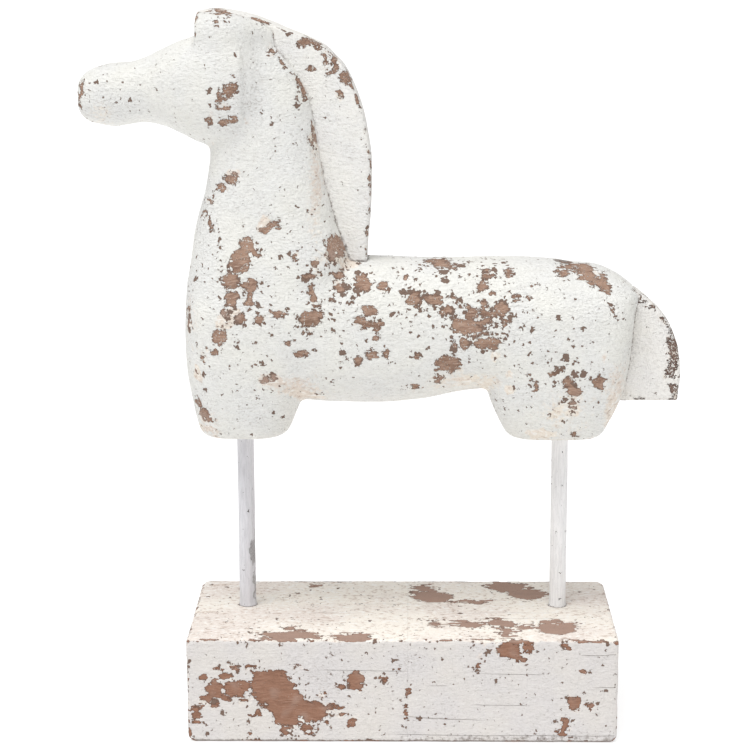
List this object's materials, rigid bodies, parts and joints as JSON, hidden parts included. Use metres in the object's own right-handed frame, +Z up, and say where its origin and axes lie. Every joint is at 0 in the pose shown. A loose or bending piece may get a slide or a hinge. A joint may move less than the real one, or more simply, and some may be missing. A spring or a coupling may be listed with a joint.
{
  "type": "carved horse sculpture on stand",
  "caption": "Whitewashed carved wooden horse with a board mane and tail, held above a rectangular timber base on slim upright rods.",
  "frame": {"origin": "middle of the base's underside, where the part rests", "axes": "+Z up, +X towards the tail so that the horse looks along -X, +Y towards the horse's right-hand side"},
  "size_m": [0.3519, 0.113, 0.424],
  "materials": {
    "horse_paint": "brushed white limewash over carved brown wood, matt, worn through in irregular flakes with cream edges",
    "base_paint": "brushed white limewash over brown wood, matt, with fine cracks along the grain and large worn patches",
    "rod_paint": "hand-painted off-white, satin, with drips and small grey chips",
    "bare_wood": "unpainted turned wood, glued in"
  },
  "bodies": {
    "root": {"base_block_left": "base_paint", "base_block_right": "base_paint", "base_dowel_1": "bare_wood", "base_dowel_2": "bare_wood", "front_rod": "rod_paint", "rear_rod": "rod_paint", "horse_body": "horse_paint", "mane": "horse_paint", "tail": "horse_paint"}
  },
  "joints": []
}
